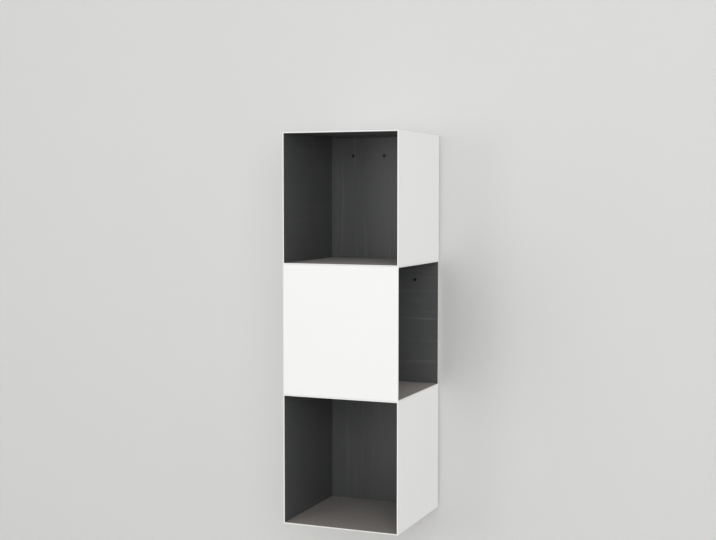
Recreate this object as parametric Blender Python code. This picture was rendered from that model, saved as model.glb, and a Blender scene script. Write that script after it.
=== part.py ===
"""A wall-hung file shelf: three equal sheet-steel boxes, square in plan, hung one above the other.

The top and bottom boxes open to the front (-Y). The middle box is hung a quarter turn round and opens to the
right (+X). The wall is the plane y = 0, and the origin is the middle of the middle wall rail's back face.
Sizes are in metres.
"""

import math

import bmesh
import bpy
from mathutils import Matrix

# Boxes: the plan is square, so that a turned box stays flush with the others
BOX_SIDE = 0.312
BOX_HEIGHT = 0.333
SHEET = 0.00125
CRISP_EDGE = 0.0004
LINER = 0.0010
FIT_GAP = 0.0003

# Distance from the wall to the backs of the boxes
WALL_GAP = 0.006

# Hook rails and wall rails, both folded to the same Z profile
RAIL_LENGTH = 0.240
RAIL_SHEET = 0.0012
RAIL_BEND = 0.0003
RAIL_FLANGE = 0.024
RAIL_HOOK = 0.010
RAIL_BELOW_TOP = 0.040
WALL_HOLE = 0.0050
WALL_HOLE_FROM_END = 0.030

# Screws that hold each hook rail, with a weld nut each
SCREW_COUNT = 3
SCREW_FROM_END = 0.030
SCREW_DIAMETER = 0.004
SCREW_HEAD = 0.0078
SCREW_HEAD_HEIGHT = 0.0022
SCREW_TAIL = 0.0006
SOCKET_FLATS = 0.0025
SOCKET_DEPTH = 0.0013
NUT_FLATS = 0.007
NUT_HEIGHT = 0.0026
NUT_EDGE = 0.0003

# Rubber bumpers between the boxes and the wall
BUMPER_BASE = 0.014
BUMPER_FACE = 0.011
BUMPER_EDGE = 0.0010
BUMPER_INSET = 0.024

# Facets of the round shapes
BEND_STEPS = 3
EDGE_STEPS = 2
ROUND_SIDES = 20

# What follows from the sizes above
WALL_DEPTH = SHEET + FIT_GAP + LINER
SLEEVE_REAR = BOX_SIDE / 2 - SHEET - FIT_GAP
LINER_FRONT = -BOX_SIDE / 2 + SHEET + FIT_GAP
LINER_REAR = BOX_SIDE / 2 - WALL_DEPTH - FIT_GAP
BOX_PITCH = BOX_HEIGHT + FIT_GAP
RAIL_OFFSET = WALL_GAP / 2
HOOK_RISE = RAIL_HOOK + FIT_GAP
BOX_CENTRE_Y = -WALL_GAP - BOX_SIDE / 2
SCREW_SEAT_Y = -WALL_GAP - WALL_DEPTH - FIT_GAP
NUT_FRONT_Y = -WALL_GAP + RAIL_SHEET + 2 * FIT_GAP
SCREW_LENGTH = NUT_FRONT_Y + NUT_HEIGHT + SCREW_TAIL - SCREW_SEAT_Y
SCREW_HOLE = SCREW_DIAMETER + 2 * FIT_GAP
SCREW_SPACING = (RAIL_LENGTH - 2 * SCREW_FROM_END) / (SCREW_COUNT - 1)
WALL_HOLE_SPACING = RAIL_LENGTH - 2 * WALL_HOLE_FROM_END


def clear_scene():
    for obj in list(bpy.data.objects):
        bpy.data.objects.remove(obj, do_unlink=True)


def finish(name, colour, roughness, metallic=0.0):
    """A plain material in the colour of the real surface."""
    material = bpy.data.materials.new(name)
    material.use_nodes = True
    shader = material.node_tree.nodes["Principled BSDF"]
    shader.inputs["Base Color"].default_value = (*colour, 1.0)
    shader.inputs["Roughness"].default_value = roughness
    shader.inputs["Metallic"].default_value = metallic
    return material


def place(name, bm, material, parent=None):
    """Turns a bmesh into a named object of the scene."""
    mesh = bpy.data.meshes.new(name)
    bm.to_mesh(mesh)
    bm.free()
    obj = bpy.data.objects.new(name, mesh)
    bpy.context.scene.collection.objects.link(obj)
    obj.parent = parent
    if material:
        mesh.materials.append(material)
    return obj


def smooth(obj, angle=30):
    obj.data.shade_smooth()
    obj.data.set_sharp_from_angle(angle=math.radians(angle))


def block(low, high):
    """A bmesh box between two corners."""
    bm = bmesh.new()
    size = [b - a for a, b in zip(low, high)]
    middle = [(a + b) / 2 for a, b in zip(low, high)]
    bmesh.ops.create_cube(bm, size=1, matrix=Matrix.Translation(middle) @ Matrix.Diagonal((*size, 1)))
    return bm


def round_off(bm, edges, radius, steps=BEND_STEPS):
    bmesh.ops.bevel(
        bm, geom=edges, offset=radius, segments=steps, profile=0.5, affect="EDGES", material=-1
    )


def thicken(obj, thickness):
    """Gives a folded sheet its thickness, on the side away from its normals."""
    solidify = obj.modifiers.new("sheet", "SOLIDIFY")
    solidify.thickness = thickness
    solidify.offset = -1
    solidify.use_even_offset = True
    solidify.use_quality_normals = True


def as_cutter(obj):
    """Hides an object that only cuts others."""
    obj.hide_render = True
    obj.display_type = "WIRE"
    return obj


def cut(obj, cutter):
    boolean = obj.modifiers.new(cutter.name, "BOOLEAN")
    boolean.operation = "DIFFERENCE"
    boolean.object = cutter


def row_cutter(name, places, radius, sides, front, rear):
    """A row of prisms along Y, hidden, that cuts one hole at each (x, z) place."""
    bm = bmesh.new()
    turn = Matrix.Rotation(math.radians(-90), 4, "X")
    for x, z in places:
        middle = Matrix.Translation((x, (front + rear) / 2, z))
        bmesh.ops.create_cone(
            bm, cap_ends=True, segments=sides, radius1=radius, radius2=radius,
            depth=rear - front, matrix=middle @ turn,
        )
    return as_cutter(place(name, bm, None))


def make_casing(name, material, parent):
    """A sheet sleeve with crisp welded corners. Its front edge is turned in as far as the liners reach."""
    half = BOX_SIDE / 2
    inner = half - SHEET
    mouth = half - WALL_DEPTH
    past = SHEET
    bm = block((-half, -half, 0), (half, SLEEVE_REAR, BOX_HEIGHT))
    rear = max(bm.faces, key=lambda face: face.normal.y)
    round_off(bm, [edge for edge in bm.edges if rear not in edge.link_faces], CRISP_EDGE, EDGE_STEPS)
    casing = place(name, bm, material, parent)
    smooth(casing)
    hollow = block((-inner, SHEET - half, SHEET), (inner, SLEEVE_REAR + past, BOX_HEIGHT - SHEET))
    cut(casing, as_cutter(place(f"{name}_hollow", hollow, None, parent)))
    opening = block((-mouth, -half - past, WALL_DEPTH), (mouth, SHEET - half + past, BOX_HEIGHT - WALL_DEPTH))
    cut(casing, as_cutter(place(f"{name}_opening", opening, None, parent)))
    return casing


def make_back_plate(name, material, parent):
    """The plate that closes the rear of the sleeve, with the same crisp edges."""
    half = BOX_SIDE / 2
    bm = block((-half, half - SHEET, 0), (half, half, BOX_HEIGHT))
    front = min(bm.faces, key=lambda face: face.normal.y)
    round_off(bm, [edge for edge in bm.edges if front not in edge.link_faces], CRISP_EDGE, EDGE_STEPS)
    plate = place(name, bm, material, parent)
    smooth(plate)
    return plate


def make_liners(box, laminate, felt, parent):
    """The five dark panels inside a box. Their faces are flush with the casing's front lip."""
    outer_x = BOX_SIDE / 2 - SHEET - FIT_GAP
    inner_x = BOX_SIDE / 2 - WALL_DEPTH
    floor = SHEET + FIT_GAP
    ceiling = BOX_HEIGHT - SHEET - FIT_GAP
    side_low = WALL_DEPTH + FIT_GAP
    side_high = BOX_HEIGHT - WALL_DEPTH - FIT_GAP
    rear = SLEEVE_REAR
    panels = {
        "floor_mat": (felt, (-outer_x, LINER_FRONT, floor), (outer_x, LINER_REAR, floor + LINER)),
        "ceiling_liner": (laminate, (-outer_x, LINER_FRONT, ceiling - LINER), (outer_x, LINER_REAR, ceiling)),
        "left_liner": (laminate, (-outer_x, LINER_FRONT, side_low), (-inner_x, LINER_REAR, side_high)),
        "right_liner": (laminate, (inner_x, LINER_FRONT, side_low), (outer_x, LINER_REAR, side_high)),
        "back_liner": (laminate, (-outer_x, rear - LINER, floor), (outer_x, rear, ceiling)),
    }
    return {
        panel: place(f"{box}_{panel}", block(low, high), material, parent)
        for panel, (material, low, high) in panels.items()
    }


def make_rail(name, material, location, upside_down=False):
    """A Z-folded hanging rail: a flange on the surface behind it, a web, and a hook lip away from it.

    The sheet's back face is folded along the profile, seen from the end: up the flange, out along the web
    and up the lip. The origin is where the web's upper face meets the surface.
    """
    bm = bmesh.new()
    profile = [(0, -RAIL_FLANGE), (0, 0), (-RAIL_OFFSET, 0), (-RAIL_OFFSET, RAIL_HOOK)]
    points = [bm.verts.new((-RAIL_LENGTH / 2, y, z)) for y, z in profile]
    edges = [bm.edges.new(pair) for pair in zip(points, points[1:])]
    swept = bmesh.ops.extrude_edge_only(bm, edges=edges)
    moved = [part for part in swept["geom"] if isinstance(part, bmesh.types.BMVert)]
    bmesh.ops.translate(bm, verts=moved, vec=(RAIL_LENGTH, 0, 0))
    outer = [e for e in bm.edges if len(e.link_faces) == 2 and abs(e.verts[0].co.y) < RAIL_OFFSET / 2]
    inner = [e for e in bm.edges if len(e.link_faces) == 2 and e not in outer]
    round_off(bm, outer, RAIL_BEND + RAIL_SHEET)
    inner = [e for e in inner if e.is_valid]
    round_off(bm, inner, RAIL_BEND)
    flange = min(bm.faces, key=lambda face: face.calc_center_median().z)
    if flange.normal.y < 0:
        bmesh.ops.reverse_faces(bm, faces=bm.faces[:])
    rail = place(name, bm, material)
    smooth(rail)
    thicken(rail, RAIL_SHEET)
    rail.location = location
    if upside_down:
        rail.rotation_euler.x = math.radians(180)
    return rail


def make_screw(name, material, location):
    """A low-head socket screw turned about its own Z axis, which lies along Y towards the wall."""
    head = SCREW_HEAD / 2
    shank = SCREW_DIAMETER / 2
    rim = SCREW_HEAD_HEIGHT / 3
    profile = [
        (0, SCREW_LENGTH),
        (shank, SCREW_LENGTH),
        (shank, 0),
        (head, 0),
        (head, -SCREW_HEAD_HEIGHT + rim),
        (head - rim, -SCREW_HEAD_HEIGHT),
        (0, -SCREW_HEAD_HEIGHT),
    ]
    bm = bmesh.new()
    points = [bm.verts.new((x, 0, z)) for x, z in profile]
    edges = [bm.edges.new(pair) for pair in zip(points, points[1:])]
    bmesh.ops.spin(
        bm, geom=points + edges, axis=(0, 0, 1), cent=(0, 0, 0), angle=math.tau,
        steps=ROUND_SIDES, use_merge=True,
    )
    bmesh.ops.remove_doubles(bm, verts=bm.verts[:], dist=1e-6)
    bmesh.ops.recalc_face_normals(bm, faces=bm.faces[:])
    screw = place(name, bm, material)
    smooth(screw)
    screw.location = location
    screw.rotation_euler.x = math.radians(-90)
    return screw


def make_nut(name, material, location):
    """A hexagon weld nut, its axis along Y. The screw's own hole is cut through it."""
    bm = bmesh.new()
    corner = NUT_FLATS / 2 / math.cos(math.pi / 6)
    bmesh.ops.create_cone(
        bm, cap_ends=True, segments=6, radius1=corner, radius2=corner, depth=NUT_HEIGHT,
        matrix=Matrix.Rotation(math.radians(-90), 4, "X"),
    )
    ends = [face for face in bm.faces if len(face.edges) == 6]
    round_off(bm, [edge for face in ends for edge in face.edges], NUT_EDGE, 1)
    nut = place(name, bm, material)
    nut.location = location
    return nut


def make_bumper(name, material, location):
    """A tapered rubber stud with a rounded face. Its base is on the box and its face on the wall."""
    bm = bmesh.new()
    depth = WALL_GAP - FIT_GAP
    bmesh.ops.create_cone(
        bm, cap_ends=True, segments=ROUND_SIDES, radius1=BUMPER_BASE / 2, radius2=BUMPER_FACE / 2,
        depth=depth, matrix=Matrix.Rotation(math.radians(-90), 4, "X"),
    )
    face = max(bm.faces, key=lambda face: face.calc_center_median().y)
    round_off(bm, face.edges[:], BUMPER_EDGE)
    bumper = place(name, bm, material)
    smooth(bumper)
    bumper.location = location
    return bumper


def make_hanging(box, bottom, drilled, zinc, dark_steel, rubber):
    """Rails, screws, nuts and bumpers on the wall side of a box. drilled are the walls the screws go through."""
    hook_z = bottom + BOX_HEIGHT - RAIL_BELOW_TOP - RAIL_FLANGE
    wall_rail_z = hook_z - HOOK_RISE
    screw_z = hook_z + RAIL_FLANGE / 2
    screw_places = [
        ((i - (SCREW_COUNT - 1) / 2) * SCREW_SPACING, screw_z) for i in range(SCREW_COUNT)
    ]
    wall_places = [(side * WALL_HOLE_SPACING / 2, wall_rail_z - RAIL_FLANGE / 2) for side in (-1, 1)]
    hook_rail = make_rail(f"{box}_hook_rail", zinc, (0, -WALL_GAP + FIT_GAP, hook_z), upside_down=True)
    wall_rail = make_rail(f"{box}_wall_rail", zinc, (0, 0, wall_rail_z))

    past = RAIL_SHEET
    nut_rear = NUT_FRONT_Y + NUT_HEIGHT
    screw_holes = row_cutter(
        f"{box}_screw_holes", screw_places, SCREW_HOLE / 2, ROUND_SIDES, SCREW_SEAT_Y - past, nut_rear + past
    )
    wall_holes = row_cutter(
        f"{box}_wall_holes", wall_places, WALL_HOLE / 2, ROUND_SIDES, -RAIL_SHEET - past, past
    )
    head_top = SCREW_SEAT_Y - SCREW_HEAD_HEIGHT
    sockets = row_cutter(
        f"{box}_sockets", screw_places, SOCKET_FLATS / 2 / math.cos(math.pi / 6), 6,
        head_top - past, head_top + SOCKET_DEPTH,
    )
    for piece in [*drilled, hook_rail]:
        cut(piece, screw_holes)
    cut(wall_rail, wall_holes)

    for number, (x, z) in enumerate(screw_places, 1):
        screw = make_screw(f"{box}_rail_screw_{number}", dark_steel, (x, SCREW_SEAT_Y, z))
        cut(screw, sockets)
        nut = make_nut(f"{box}_weld_nut_{number}", zinc, (x, NUT_FRONT_Y + NUT_HEIGHT / 2, z))
        cut(nut, screw_holes)
    for side, x in (("left", -1), ("right", 1)):
        make_bumper(
            f"{box}_bumper_{side}", rubber,
            (x * (BOX_SIDE / 2 - BUMPER_INSET), -(WALL_GAP - FIT_GAP) / 2, bottom + BUMPER_INSET),
        )


def make_box(box, bottom, quarter_turns, finishes):
    """One box of the column, turned by quarter turns, with what hangs it on the wall."""
    frame = bpy.data.objects.new(f"{box}_box", None)
    bpy.context.scene.collection.objects.link(frame)
    frame.location = (0, BOX_CENTRE_Y, bottom)
    frame.rotation_euler.z = quarter_turns * math.pi / 2
    casing = make_casing(f"{box}_casing", finishes["white"], frame)
    back_plate = make_back_plate(f"{box}_back_plate", finishes["white"], frame)
    liners = make_liners(box, finishes["laminate"], finishes["felt"], frame)
    drilled = [casing, liners["right_liner"]] if quarter_turns else [back_plate, liners["back_liner"]]
    make_hanging(box, bottom, drilled, finishes["zinc"], finishes["dark_steel"], finishes["rubber"])


clear_scene()
FINISHES = {
    "white": finish("white_powder_coat", (0.86, 0.86, 0.85), 0.45),
    "laminate": finish("charcoal_laminate", (0.076, 0.078, 0.080), 0.4),
    "felt": finish("grey_felt", (0.18, 0.165, 0.155), 0.95),
    "zinc": finish("zinc_plated_steel", (0.62, 0.63, 0.64), 0.35, 1.0),
    "dark_steel": finish("blackened_steel", (0.03, 0.03, 0.032), 0.4, 0.9),
    "rubber": finish("black_rubber", (0.02, 0.02, 0.02), 0.8),
}

# The origin sits on the middle wall rail, so the middle box's bottom is measured from there
middle_bottom = RAIL_FLANGE / 2 + HOOK_RISE + RAIL_FLANGE + RAIL_BELOW_TOP - BOX_HEIGHT
make_box("top", middle_bottom + BOX_PITCH, 0, FINISHES)
make_box("middle", middle_bottom, 1, FINISHES)
make_box("bottom", middle_bottom - BOX_PITCH, 0, FINISHES)
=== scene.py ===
import math

import bmesh
import bpy
from mathutils import Matrix, Vector, noise


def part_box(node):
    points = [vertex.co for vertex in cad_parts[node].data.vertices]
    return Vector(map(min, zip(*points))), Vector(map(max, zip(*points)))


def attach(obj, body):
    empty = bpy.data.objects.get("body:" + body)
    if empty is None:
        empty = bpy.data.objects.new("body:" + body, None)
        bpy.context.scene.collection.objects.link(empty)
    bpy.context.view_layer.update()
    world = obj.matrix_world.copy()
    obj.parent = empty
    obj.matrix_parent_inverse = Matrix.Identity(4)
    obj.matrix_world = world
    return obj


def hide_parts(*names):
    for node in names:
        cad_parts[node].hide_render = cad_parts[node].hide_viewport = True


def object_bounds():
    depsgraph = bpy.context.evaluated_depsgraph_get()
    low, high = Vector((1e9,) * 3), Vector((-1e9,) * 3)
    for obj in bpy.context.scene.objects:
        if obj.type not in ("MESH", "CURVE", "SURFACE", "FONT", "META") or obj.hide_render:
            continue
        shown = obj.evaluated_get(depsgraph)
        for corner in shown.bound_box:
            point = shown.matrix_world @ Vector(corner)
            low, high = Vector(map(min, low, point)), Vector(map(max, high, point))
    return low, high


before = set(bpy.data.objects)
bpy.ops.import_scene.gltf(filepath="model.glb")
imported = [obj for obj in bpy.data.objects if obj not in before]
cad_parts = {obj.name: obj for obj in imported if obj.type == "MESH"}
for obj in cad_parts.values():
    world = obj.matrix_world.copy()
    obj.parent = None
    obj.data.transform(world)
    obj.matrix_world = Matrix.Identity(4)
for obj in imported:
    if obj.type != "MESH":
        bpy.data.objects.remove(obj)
cad_box = [list(corner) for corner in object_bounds()]


# Wall rails. Three strips of zinc-plated steel, folded to a Z and screwed flat to the wall, one behind
# each box. The lip that each one turns up carries the box. Rolling leaves fine streaks along the strip,
# and the plating clouds over in patches.
BOXES = ("top", "middle", "bottom")
ZINC_BRIGHT = (186, 190, 194)
ZINC_CLOUDED = (160, 163, 164)
ZINC_ROUGHNESS = 0.26
STREAK_ALONG = 9
STREAK_ACROSS = 700
STREAK_TONE = 0.3
STREAK_ROUGHNESS = 0.1
STREAK_DEPTH = 0.000012
CLOUD_SIZE = 0.018
CLOUD_EDGE = (0.35, 0.7)
CLOUD_TONE = 0.7
CLOUD_ROUGHNESS = 0.14


def feed(tree, node, sockets):
    """Gives a node's sockets their values or links."""
    for name, value in sockets.items():
        if isinstance(value, Value):
            tree.links.new(value.socket, node.inputs[name])
        else:
            node.inputs[name].default_value = value


class Value:
    """One output in a tree of shader nodes. Arithmetic on it adds Math nodes."""

    def __init__(self, tree, socket=None):
        self.tree = tree
        self.socket = socket

    def node(self, kind, settings, sockets, output=0):
        """Adds a node: its settings first, then the values or links of its sockets."""
        added = self.tree.nodes.new("ShaderNode" + kind)
        for name, setting in settings.items():
            setattr(added, name, setting)
        feed(self.tree, added, sockets)
        return Value(self.tree, added.outputs[output])

    def maths(self, operation, first, second):
        return self.node("Math", {"operation": operation}, {0: first, 1: second})

    def __add__(self, other):
        return self.maths("ADD", self, other)

    def __sub__(self, other):
        return self.maths("SUBTRACT", self, other)

    def __rsub__(self, other):
        return self.maths("SUBTRACT", other, self)

    def __mul__(self, other):
        return self.maths("MULTIPLY", self, other)

    __radd__ = __add__
    __rmul__ = __mul__


def paint(red, green, blue):
    """A colour as a screen shows it, 0 to 255, turned into the linear colour that a shader takes."""
    linear = [((part / 255 + 0.055) / 1.055) ** 2.4 for part in (red, green, blue)]
    return (*linear, 1.0)


def new_finish(name):
    """A material, and the place on the piece in metres that its patterns read."""
    finish = bpy.data.materials.new(name)
    finish.use_nodes = True
    return finish, Value(finish.node_tree).node("TexCoord", {}, {}, "Object")


def surface(finish, sockets):
    """Fills the sockets of a finish's own shader."""
    feed(finish.node_tree, finish.node_tree.nodes["Principled BSDF"], sockets)


def mottle(place, size, detail):
    """Noise from 0 to 1 in blotches of about this size."""
    return place.node("TexNoise", {}, {"Vector": place, "Scale": 1 / size, "Detail": detail}, "Fac")


def streaks(place, per_metre, detail):
    """Noise from 0 to 1 in streaks, with about so many of them to the metre along each axis."""
    squeezed = place.node("Mapping", {}, {"Vector": place, "Scale": per_metre})
    return mottle(squeezed, 1, detail)


def rise(value, low, high):
    """Climbs smoothly from 0 where the value is low to 1 where it is high."""
    limits = {"Value": value, "From Min": low, "From Max": high}
    return value.node("MapRange", {"interpolation_type": "SMOOTHSTEP"}, limits, "Result")


def blend(amount, first, second):
    """The first colour where the amount is 0 and the second where it is 1."""
    return amount.node("Mix", {"data_type": "RGBA"}, {0: amount, 6: first, 7: second}, 2)


def relief(height, depth):
    """The normal of a surface whose pattern is this deep, in metres."""
    return height.node("Bump", {}, {"Height": height, "Strength": 1.0, "Distance": depth}, "Normal")


def dress(finish, *endings, boxes=BOXES):
    """Gives these boxes' nodes of these names their finish."""
    for box in boxes:
        for ending in endings:
            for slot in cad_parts[f"{box}_{ending}"].material_slots:
                slot.material = finish


zinc, place = new_finish("zinc_plating")
streak = streaks(place, (STREAK_ALONG, STREAK_ACROSS, STREAK_ACROSS), detail=3)
cloud = rise(mottle(place, CLOUD_SIZE, detail=4), *CLOUD_EDGE)
dulled = cloud * CLOUD_TONE + streak * STREAK_TONE
surface(zinc, {
    "Base Color": blend(dulled, paint(*ZINC_BRIGHT), paint(*ZINC_CLOUDED)),
    "Metallic": 1.0,
    "Roughness": ZINC_ROUGHNESS + CLOUD_ROUGHNESS * cloud + STREAK_ROUGHNESS * streak,
    "Normal": relief(streak, STREAK_DEPTH),
})
dress(zinc, "wall_rail")


# Hook rails. The same folded strip turned upside down and screwed to the wall side of each box, where
# its lip drops behind the wall rail's. The weld nuts on it, one for each of its three screws, are plated
# in the same bath.
SCREWS = (1, 2, 3)

dress(zinc, "hook_rail", *(f"weld_nut_{number}" for number in SCREWS))


# Casings and back plates. Sheet steel, welded at the corners, ground to a crisp edge and powder coated
# white in one go, so that the welds don't show. The powder melts to a fine peel, and it lies a little
# thinner and smoother along the edges, which hands rub.
COAT = (242, 242, 242)
COAT_WARM = (241, 241, 239)
COAT_RUBBED = (229, 229, 228)
COAT_ROUGHNESS = 0.46
PEEL_SIZE = 0.0016
PEEL_ROUGHNESS = 0.08
PEEL_DEPTH = 0.000018
DRIFT_SIZE = 0.16
EDGE_WIDTH = 0.0018
EDGE_SAMPLES = 4
EDGE_BEND = (0.01, 0.3)
EDGE_SMOOTHING = 0.1
RUB_SIZE = 0.022
RUB_EDGE = (0.45, 0.75)
RUB_TONE = 0.6

coat, place = new_finish("white_powder_coat")
peel = mottle(place, PEEL_SIZE, detail=1.5)
drift = mottle(place, DRIFT_SIZE, detail=2)
rounded = place.node("Bevel", {"samples": EDGE_SAMPLES}, {"Radius": EDGE_WIDTH}, "Normal")
flat = place.node("NewGeometry", {}, {}, "Normal")
along = place.node("VectorMath", {"operation": "DOT_PRODUCT"}, {0: rounded, 1: flat}, "Value")
edge = rise(1 - along, *EDGE_BEND)
rubbed = edge * rise(mottle(place, RUB_SIZE, detail=3), *RUB_EDGE)
plain = blend(drift, paint(*COAT), paint(*COAT_WARM))
surface(coat, {
    "Base Color": blend(rubbed * RUB_TONE, plain, paint(*COAT_RUBBED)),
    "Roughness": COAT_ROUGHNESS + PEEL_ROUGHNESS * peel - EDGE_SMOOTHING * edge,
    "Normal": relief(peel, PEEL_DEPTH),
})
dress(coat, "casing", "back_plate")


# Liners. Thin charcoal laminate glued to the inside of each box. It has a fine pearl grain with a dull
# gloss. What is pushed in and out has left faint streaks from front to back, which is from side to side
# in the turned box, and upright ones on the panel at the rear.
LAMINATE = (86, 87, 88)
LAMINATE_SCUFFED = (105, 105, 105)
LAMINATE_ROUGHNESS = 0.36
PEARL_SIZE = 0.0011
PEARL_ROUGHNESS = 0.12
PEARL_DEPTH = 0.00003
SCUFF_ALONG = 3.5
SCUFF_ACROSS = 85
SCUFF_EDGE = (0.52, 0.8)
SCUFF_TONE = 0.8
SCUFF_ROUGHNESS = 0.12
ROUND_THE_OPENING = ("ceiling_liner", "left_liner", "right_liner")


def laminate(name, scuffs_per_metre):
    """Charcoal laminate, scuffed along the axis with the fewest scuffs to the metre."""
    finish, place = new_finish(name)
    pearl = mottle(place, PEARL_SIZE, detail=2)
    scuff = rise(streaks(place, scuffs_per_metre, detail=4), *SCUFF_EDGE)
    surface(finish, {
        "Base Color": blend(scuff * SCUFF_TONE, paint(*LAMINATE), paint(*LAMINATE_SCUFFED)),
        "Roughness": LAMINATE_ROUGHNESS + PEARL_ROUGHNESS * pearl + SCUFF_ROUGHNESS * scuff,
        "Normal": relief(pearl, PEARL_DEPTH),
    })
    return finish


front_to_back = laminate("charcoal_laminate", (SCUFF_ACROSS, SCUFF_ALONG, SCUFF_ACROSS))
side_to_side = laminate("charcoal_laminate_turned", (SCUFF_ALONG, SCUFF_ACROSS, SCUFF_ACROSS))
upright = laminate("charcoal_laminate_rear", (SCUFF_ACROSS, SCUFF_ACROSS, SCUFF_ALONG))
dress(front_to_back, *ROUND_THE_OPENING, boxes=("top", "bottom"))
dress(side_to_side, *ROUND_THE_OPENING, boxes=("middle",))
dress(upright, "back_liner")


# Floor mats. Grey wool felt cut to size and laid on the floor of each box, so that what stands there
# doesn't slide or scratch. Pressed fibres of lighter and darker wool show in it, and its surface isn't
# quite flat.
FELT = (123, 116, 110)
FELT_DARK = (86, 81, 77)
FELT_LIGHT = (157, 149, 142)
FELT_ROUGHNESS = 0.96
FELT_SHEEN = 0.2
FELT_SHINE = 0.2
FELT_NAP = 0.00022
FIBRE_ALONG = 330
FIBRE_ACROSS = 1600
LIGHT_FIBRE_EDGE = (0.54, 0.72)
LIGHT_FIBRE_TONE = 0.75
DARK_FIBRE_EDGE = (0.52, 0.74)
DARK_FIBRE_TONE = 0.7
TUFT_SIZE = 0.006
TUFT_EDGE = (0.4, 0.8)
TUFT_TONE = 0.35
FELT_WAVE = 0.0001
FELT_WAVE_LENGTH = 0.045
FELT_ROUNDING = 0.0003
FELT_ROUNDING_STEPS = 3
FELT_CORNER = math.radians(60)
MAT_STEPS = 48
SHARP_FOLD = math.radians(35)

felt, place = new_finish("grey_felt")
fibres_in_x = streaks(place, (FIBRE_ALONG, FIBRE_ACROSS, FIBRE_ACROSS), detail=3)
fibres_in_y = streaks(place, (FIBRE_ACROSS, FIBRE_ALONG, FIBRE_ACROSS), detail=3)
tuft = mottle(place, TUFT_SIZE, detail=4)
light_fibre = rise(fibres_in_x, *LIGHT_FIBRE_EDGE)
dark_fibre = rise(fibres_in_y, *DARK_FIBRE_EDGE)
wool = blend(dark_fibre * DARK_FIBRE_TONE, paint(*FELT), paint(*FELT_DARK))
wool = blend(light_fibre * LIGHT_FIBRE_TONE, wool, paint(*FELT_LIGHT))
surface(felt, {
    "Base Color": blend(rise(tuft, *TUFT_EDGE) * TUFT_TONE, wool, paint(*FELT_DARK)),
    "Roughness": FELT_ROUGHNESS,
    "Sheen Weight": FELT_SHEEN,
    "Specular IOR Level": FELT_SHINE,
    "Normal": relief(fibres_in_x + fibres_in_y + tuft, FELT_NAP),
})


def add_piece(name, bm, finish, node):
    """Makes a new piece of a mesh and puts it in the place of a CAD node."""
    mesh = bpy.data.meshes.new(name)
    bm.to_mesh(mesh)
    bm.free()
    mesh.shade_smooth()
    mesh.set_sharp_from_angle(angle=SHARP_FOLD)
    mesh.materials.append(finish)
    piece = bpy.data.objects.new(name, mesh)
    bpy.context.scene.collection.objects.link(piece)
    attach(piece, "root")
    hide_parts(node)
    return piece


for box in BOXES:
    low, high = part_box(f"{box}_floor_mat")
    size = high - low
    centre = Matrix.Translation(((low.x + high.x) / 2, (low.y + high.y) / 2, high.z - FELT_WAVE))
    spread = Matrix.Diagonal((size.x, size.y, 1, 1))
    bm = bmesh.new()
    bmesh.ops.create_grid(bm, x_segments=MAT_STEPS, y_segments=MAT_STEPS, size=0.5, matrix=centre @ spread)
    for vert in bm.verts:
        vert.co.z += FELT_WAVE * noise.noise(vert.co / FELT_WAVE_LENGTH)
    mat = add_piece(f"{box}_felt_mat", bm, felt, f"{box}_floor_mat")
    thickness = mat.modifiers.new("thickness", "SOLIDIFY")
    thickness.thickness = size.z - 2 * FELT_WAVE
    thickness.offset = -1
    softened = mat.modifiers.new("softened edge", "BEVEL")
    softened.width = FELT_ROUNDING
    softened.segments = FELT_ROUNDING_STEPS
    softened.limit_method = "ANGLE"
    softened.angle_limit = FELT_CORNER


# Rail screws. Low-head socket screws, blackened, three to a box, put in from inside the box through its
# wall into the weld nuts. They are turned, and the hexagon is pressed into the head.
BLACKENED = (46, 46, 48)
BLACKENED_WORN = (84, 82, 80)
BLACKENED_METAL = 0.9
BLACKENED_ROUGHNESS = 0.34
BLOTCH_SIZE = 0.0012
BLOTCH_ROUGHNESS = 0.16
BLOTCH_DEPTH = 0.00001
WORN_SIZE = 0.0035
WORN_EDGE = (0.5, 0.8)
WORN_TONE = 0.6
SCREW_STEPS = 48
ARC_STEPS = 5
WELD_DISTANCE = 1e-7
SHANK_RADIUS = 0.0020
SHANK_CHAMFER = 0.0003
HEAD_HEIGHT = 0.0022
HEAD_ROUND = 0.0005
SOCKET_FLATS = 0.0025
SOCKET_DEPTH = 0.0013
SOCKET_RIM = 0.00015
SOCKET_LEAD_IN = 3 * SOCKET_RIM

black_steel, place = new_finish("blackened_steel")
blotch = mottle(place, BLOTCH_SIZE, detail=3)
worn = rise(mottle(place, WORN_SIZE, detail=3), *WORN_EDGE)
surface(black_steel, {
    "Base Color": blend(worn * WORN_TONE, paint(*BLACKENED), paint(*BLACKENED_WORN)),
    "Metallic": BLACKENED_METAL,
    "Roughness": BLACKENED_ROUGHNESS + BLOTCH_ROUGHNESS * blotch,
    "Normal": relief(blotch, BLOTCH_DEPTH),
})


def arc(centre_along, centre_out, radius, start, end):
    """Points (along, out) on an arc of a turned outline, by its angles in degrees."""
    angles = [math.radians(start + (end - start) * i / ARC_STEPS) for i in range(ARC_STEPS + 1)]
    return [(centre_along + radius * math.cos(a), centre_out + radius * math.sin(a)) for a in angles]


def turned(outline, steps):
    """A shape turned about the Y axis from points (along, out)."""
    bm = bmesh.new()
    points = [bm.verts.new((out, along, 0)) for along, out in outline]
    edges = [bm.edges.new(pair) for pair in zip(points, points[1:])]
    bmesh.ops.spin(
        bm, geom=points + edges, axis=(0, 1, 0), cent=(0, 0, 0), angle=math.tau, steps=steps,
        use_merge=True,
    )
    bmesh.ops.remove_doubles(bm, verts=bm.verts[:], dist=WELD_DISTANCE)
    return bm


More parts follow.
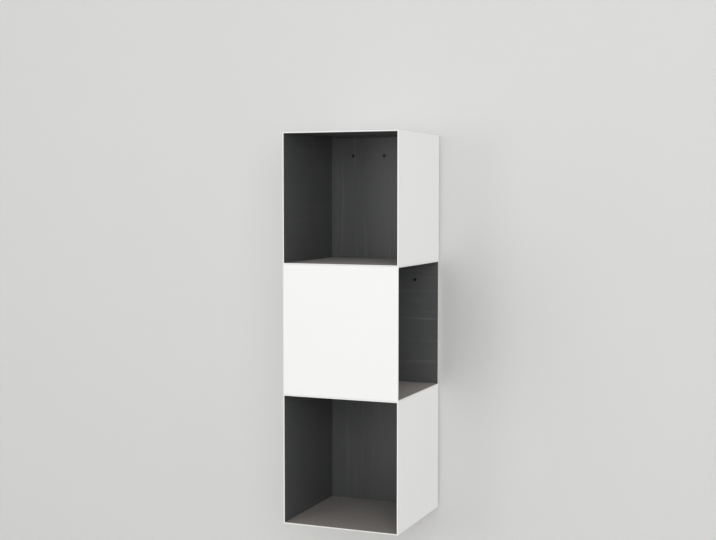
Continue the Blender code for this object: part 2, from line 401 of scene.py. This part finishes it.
def press_hexagon(bm, flats, depth):
    """Squeezes the open end of a turned shape to a hexagon and sinks it along Y."""
    rim = [edge for edge in bm.edges if edge.is_boundary]
    for vert in {vert for edge in rim for vert in edge.verts}:
        angle = math.atan2(vert.co.z, vert.co.x)
        from_flat = (angle + math.pi / 6) % (math.pi / 3) - math.pi / 6
        reach = flats / 2 / math.cos(from_flat)
        vert.co.x = reach * math.cos(angle)
        vert.co.z = reach * math.sin(angle)
    sunk = bmesh.ops.extrude_edge_only(bm, edges=rim)["geom"]
    corners = [part for part in sunk if isinstance(part, bmesh.types.BMVert)]
    outline = [part for part in sunk if isinstance(part, bmesh.types.BMEdge)]
    bmesh.ops.translate(bm, verts=corners, vec=(0, depth, 0))
    bottom = bmesh.ops.contextual_create(bm, geom=outline)
    bmesh.ops.poke(bm, faces=bottom["faces"])


def seat(bm, low, high):
    """Turns a shape's faces outwards and moves it from the Y axis to where a node's box starts."""
    bmesh.ops.recalc_face_normals(bm, faces=bm.faces[:])
    start = ((low.x + high.x) / 2, low.y, (low.z + high.z) / 2)
    bmesh.ops.translate(bm, verts=bm.verts[:], vec=start)


for box in BOXES:
    for number in SCREWS:
        node = f"{box}_rail_screw_{number}"
        low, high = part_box(node)
        head = (high.x - low.x) / 2
        length = high.y - low.y
        bm = turned([
            (length, 0),
            (length, SHANK_RADIUS - SHANK_CHAMFER),
            (length - SHANK_CHAMFER, SHANK_RADIUS),
            (HEAD_HEIGHT, SHANK_RADIUS),
            (HEAD_HEIGHT, head),
            *arc(HEAD_ROUND, head - HEAD_ROUND, HEAD_ROUND, 90, 180),
            (0, SOCKET_FLATS / 2 + SOCKET_LEAD_IN),
            (SOCKET_RIM, SOCKET_FLATS / 2 + SOCKET_RIM),
        ], SCREW_STEPS)
        press_hexagon(bm, SOCKET_FLATS, SOCKET_DEPTH)
        seat(bm, low, high)
        add_piece(f"{box}_socket_screw_{number}", bm, black_steel, node)


# Bumpers. Moulded black rubber studs, two low on the wall side of each box, stuck on by their wider
# base. They keep the box plumb and off the wall. The mould leaves a shallow dish in the face, and the
# rubber gathers dust.
RUBBER = (33, 33, 33)
RUBBER_DUSTY = (62, 61, 59)
RUBBER_ROUGHNESS = 0.72
RUBBER_SHINE = 0.35
SPECKLE_SIZE = 0.0006
SPECKLE_ROUGHNESS = 0.16
SPECKLE_DEPTH = 0.00002
DUST_SIZE = 0.004
DUST_EDGE = (0.45, 0.8)
DUST_TONE = 0.5
BUMPER_STEPS = 56
BUMPER_TAPER = 0.0015
BUMPER_ROUND = 0.0012
BUMPER_ROUND_START = 80
DISH_RADIUS = 0.0028
DISH_DEPTH = 0.0005

rubber, place = new_finish("black_rubber")
speckle = mottle(place, SPECKLE_SIZE, detail=2)
dust = rise(mottle(place, DUST_SIZE, detail=4), *DUST_EDGE)
surface(rubber, {
    "Base Color": blend(dust * DUST_TONE, paint(*RUBBER), paint(*RUBBER_DUSTY)),
    "Roughness": RUBBER_ROUGHNESS + SPECKLE_ROUGHNESS * speckle,
    "Specular IOR Level": RUBBER_SHINE,
    "Normal": relief(speckle, SPECKLE_DEPTH),
})
for box in BOXES:
    for side in ("left", "right"):
        node = f"{box}_bumper_{side}"
        low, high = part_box(node)
        base = (high.x - low.x) / 2
        depth = high.y - low.y
        face = base - BUMPER_TAPER
        bm = turned([
            (0, 0),
            (0, base),
            *arc(depth - BUMPER_ROUND, face - BUMPER_ROUND, BUMPER_ROUND, BUMPER_ROUND_START, 0),
            (depth, DISH_RADIUS),
            (depth - DISH_DEPTH, DISH_RADIUS - DISH_DEPTH),
            (depth - DISH_DEPTH, 0),
        ], BUMPER_STEPS)
        seat(bm, low, high)
        add_piece(f"{box}_rubber_stud_{side}", bm, rubber, node)


# The wall that the shelf hangs on, and the floor below it, in plain pale paint. Both show only from
# their fronts. The wall is there for the camera alone, so that it doesn't shade the back of the shelf.
# A second sheet, as large as that back, stops only light that has bounced, and keeps the gap dark.
WALL_PAINT = (216, 216, 215)
FLOOR_PAINT = (198, 197, 195)
PAINT_ROUGHNESS = 0.9
PAINT_SHINE = 0.2
TONE_SIZE = 0.3
TONE_DARKEST = 0.985
SECOND_BOUNCE = 1.5
STAGE_REACH = 5.0
FLOOR_DROP = 0.75
WALL_SLACK = 0.0005


def camera_rays(place):
    """1 for what the camera sees."""
    return place.node("LightPath", {}, {}, "Is Camera Ray")


def bounced_rays(place):
    """1 for light on its way to a surface that only another surface sees."""
    bounces = place.node("LightPath", {}, {}, "Diffuse Depth")
    shadow_ray = place.node("LightPath", {}, {}, "Is Shadow Ray")
    return place.maths("GREATER_THAN", bounces + shadow_ray, SECOND_BOUNCE)


def stage_sheet(name, colour, stand, half_size, stopped=None):
    """A plain sheet that is clear from behind and, if only some rays are stopped, to all others."""
    finish, place = new_finish(name)
    tone = mottle(place, TONE_SIZE, detail=3)
    colour = paint(*colour)
    darker = tuple(TONE_DARKEST * part for part in colour[:3]) + (1.0,)
    surface(finish, {
        "Base Color": blend(tone, colour, darker),
        "Roughness": PAINT_ROUGHNESS,
        "Specular IOR Level": PAINT_SHINE,
    })
    seen = 1 - place.node("NewGeometry", {}, {}, "Backfacing")
    if stopped:
        seen = seen * stopped(place)
    nodes = finish.node_tree.nodes
    solid = Value(finish.node_tree, nodes["Principled BSDF"].outputs[0])
    clear = place.node("BsdfTransparent", {}, {})
    shown = place.node("MixShader", {}, {0: seen, 1: clear, 2: solid})
    feed(finish.node_tree, nodes["Material Output"], {"Surface": shown})
    bm = bmesh.new()
    spread = Matrix.Diagonal((*half_size, 1, 1))
    bmesh.ops.create_grid(bm, x_segments=1, y_segments=1, size=1, matrix=stand @ spread)
    mesh = bpy.data.meshes.new(name)
    bm.to_mesh(mesh)
    bm.free()
    mesh.materials.append(finish)
    sheet = bpy.data.objects.new(name, mesh)
    bpy.context.scene.collection.objects.link(sheet)


shelf_low, shelf_high = (Vector(corner) for corner in cad_box)
shelf_middle = (shelf_low + shelf_high) / 2
floor_height = shelf_low.z - FLOOR_DROP
stood_up = Matrix.Rotation(math.pi / 2, 4, "X")
on_wall = Matrix.Translation((0, WALL_SLACK, floor_height + STAGE_REACH)) @ stood_up
on_floor = Matrix.Translation((0, 0, floor_height))
behind_wall = Matrix.Translation((0, 2 * WALL_SLACK, shelf_middle.z)) @ stood_up
half_back = ((shelf_high.x - shelf_low.x) / 2, (shelf_high.z - shelf_low.z) / 2)
stage_sheet("wall", WALL_PAINT, on_wall, (STAGE_REACH, STAGE_REACH), camera_rays)
stage_sheet("floor", FLOOR_PAINT, on_floor, (STAGE_REACH, STAGE_REACH))
stage_sheet("gap_shade", WALL_PAINT, behind_wall, half_back, bounced_rays)


# Light. An even room, a window at the front left whose soft shadow falls on the wall to the right, a
# broad lamp at the front right, and a weak lamp behind to the left, which only the back and the left
# side get. The camera and what shines see a pale backdrop in place of the room.
ROOM_LIGHT = 0.84
BACKGROUND = (222, 222, 221)
WINDOW = {"turn": -25, "distance": 4.0, "height": 0.35, "size": (1.0, 1.0), "power": 12}
FRONT_LAMP = {"turn": 24, "distance": 4.5, "height": 0.9, "size": (2.5, 2.0), "power": 50}
BACK_LAMP = {"turn": 198, "distance": 3.0, "height": 0.2, "size": (1.5, 1.0), "power": 14}

scene = bpy.context.scene
world = bpy.data.worlds.new("room")
world.use_nodes = True
scene.world = world
room = Value(world.node_tree)
light = room.node("Background", {}, {"Color": (1, 1, 1, 1), "Strength": ROOM_LIGHT})
backdrop = room.node("Background", {}, {"Color": paint(*BACKGROUND), "Strength": 1.0})
glossy_rays = room.node("LightPath", {}, {}, "Is Glossy Ray")
seen = room.maths("MAXIMUM", camera_rays(room), glossy_rays)
mixed = room.node("MixShader", {}, {0: seen, 1: light, 2: backdrop})
feed(world.node_tree, world.node_tree.nodes["World Output"], {"Surface": mixed})


def add_lamp(name, turn, distance, height, size, power):
    """A soft rectangular lamp, turned by degrees from straight in front, that points at the shelf."""
    lamp = bpy.data.lights.new(name, "AREA")
    lamp.shape = "RECTANGLE"
    lamp.size, lamp.size_y = size
    lamp.energy = power
    stand = bpy.data.objects.new(name, lamp)
    angle = math.radians(turn)
    away = Vector((distance * math.sin(angle), -distance * math.cos(angle), height))
    stand.location = shelf_middle + away
    stand.rotation_euler = (-away).to_track_quat("-Z", "Y").to_euler()
    scene.collection.objects.link(stand)


add_lamp("window_light", **WINDOW)
add_lamp("front_lamp", **FRONT_LAMP)
add_lamp("back_lamp", **BACK_LAMP)
scene.view_settings.view_transform = "Standard"


# Camera. It stands to the right of the shelf, a little below the top, and looks slightly down and to the
# left. Its lens is rather long, with a focal length that is given in pixels of the picture.
CAMERA_PLACE = (1.2259, -3.2065, 0.2625)
CAMERA_TURN = math.radians(22.155)
CAMERA_FALL = math.radians(3.42)
FOCAL_LENGTH_PIXELS = 1262
IMAGE_WIDTH = 716
SENSOR_WIDTH = 36

camera = bpy.data.objects.new("camera", bpy.data.cameras.new("camera"))
camera.location = CAMERA_PLACE
camera.rotation_euler = (math.pi / 2 - CAMERA_FALL, 0, CAMERA_TURN)
camera.data.sensor_width = SENSOR_WIDTH
camera.data.lens = SENSOR_WIDTH * FOCAL_LENGTH_PIXELS / IMAGE_WIDTH
scene.collection.objects.link(camera)
scene.camera = camera
